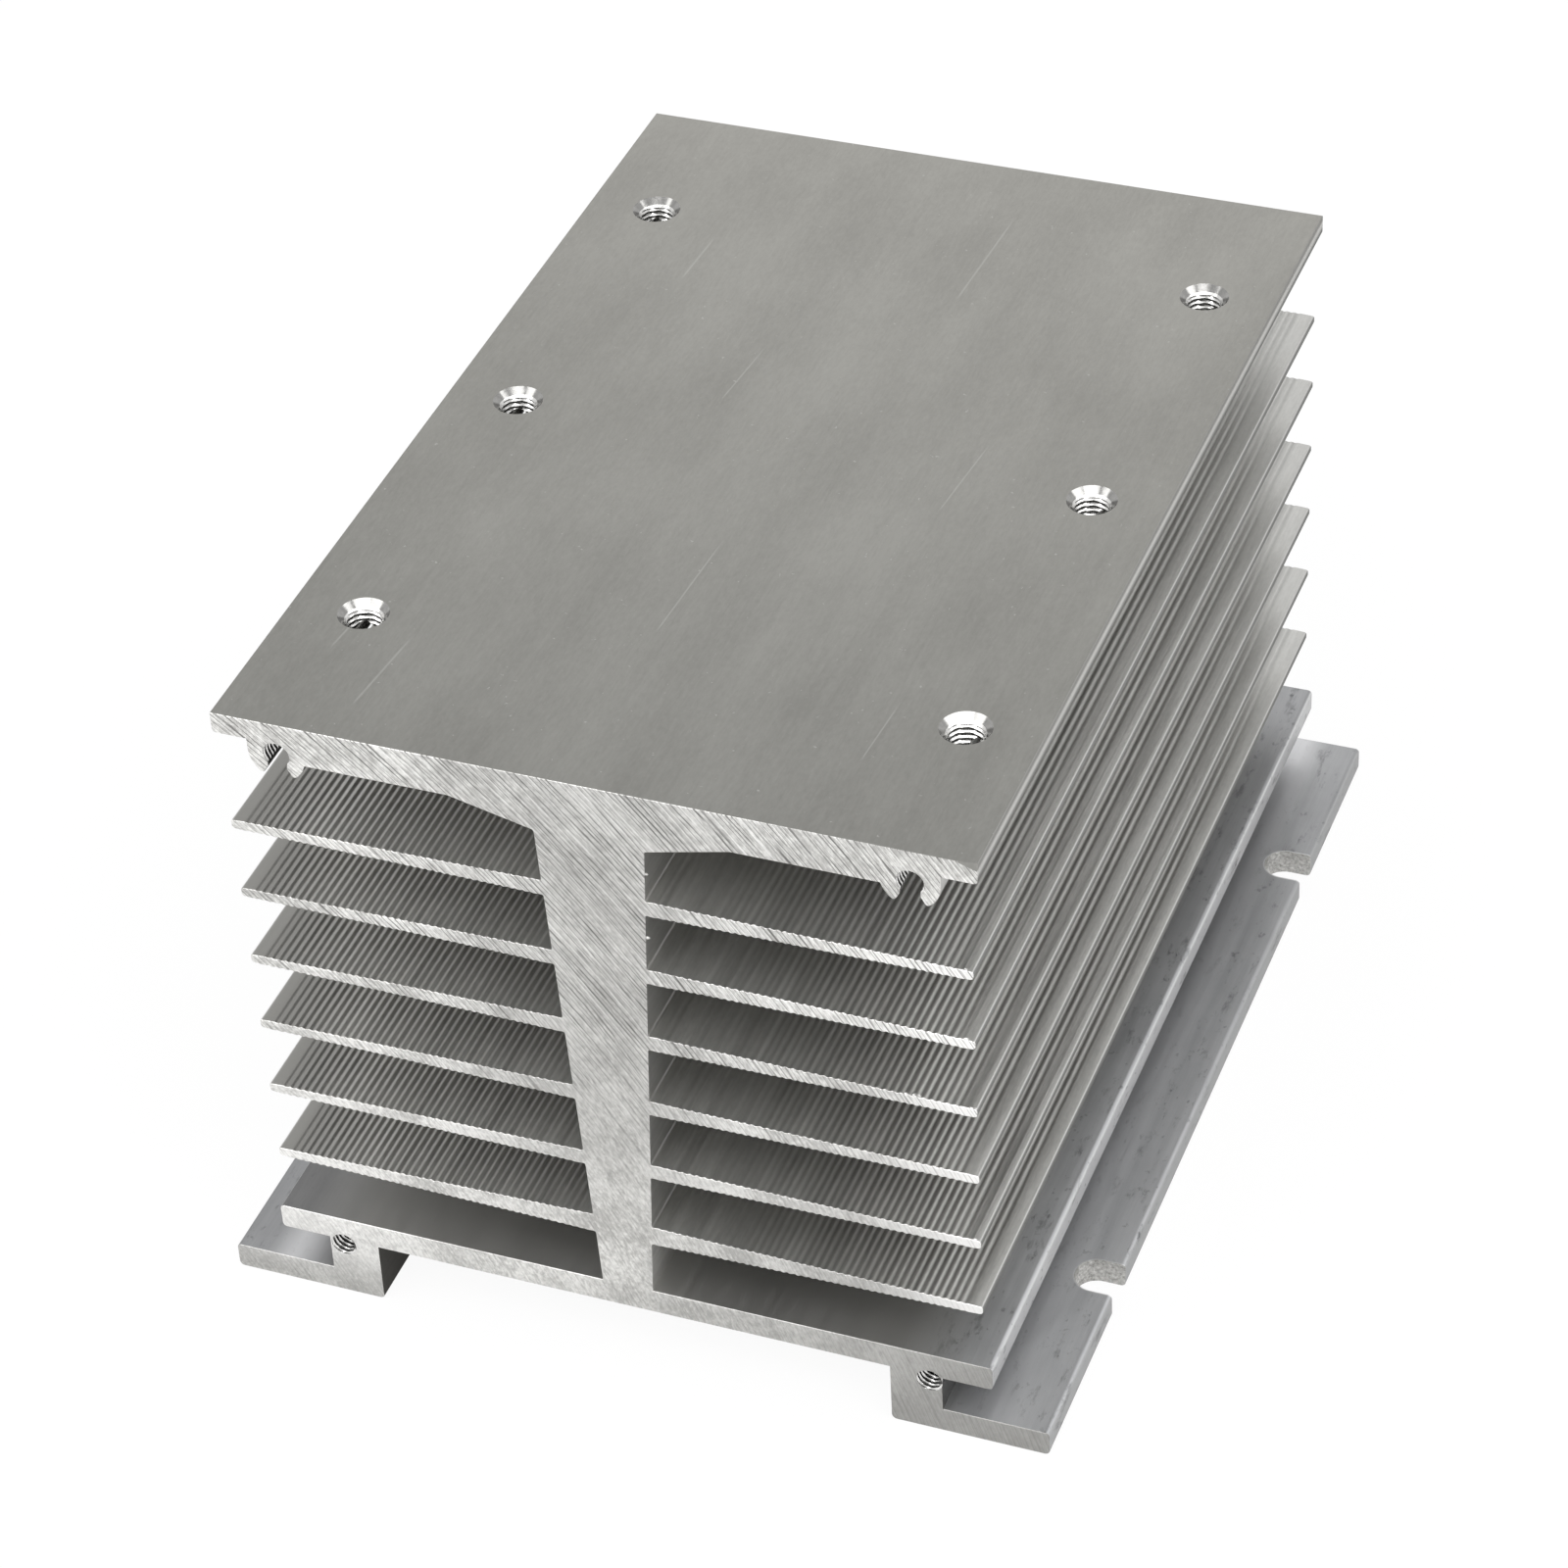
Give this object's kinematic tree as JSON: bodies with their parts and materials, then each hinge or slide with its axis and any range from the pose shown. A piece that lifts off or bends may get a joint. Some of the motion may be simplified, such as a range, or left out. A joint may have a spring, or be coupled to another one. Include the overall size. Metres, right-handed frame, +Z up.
{
  "type": "heat sink",
  "caption": "Extruded aluminium heat sink: flat mounting plate with tapped holes on a web with ribbed side fins, and two slotted feet.",
  "frame": {"origin": "on the floor under the middle of the part, level with the undersides of the feet", "axes": "+X across the fins to the right, +Y along the extrusion from the front sawn end to the rear one, +Z up through the web to the mounting plate"},
  "size_m": [0.115, 0.149, 0.0957],
  "materials": {
    "aluminium": "mill finish with sawn ends"
  },
  "bodies": {
    "root": {"heat_sink": "aluminium"}
  },
  "joints": []
}
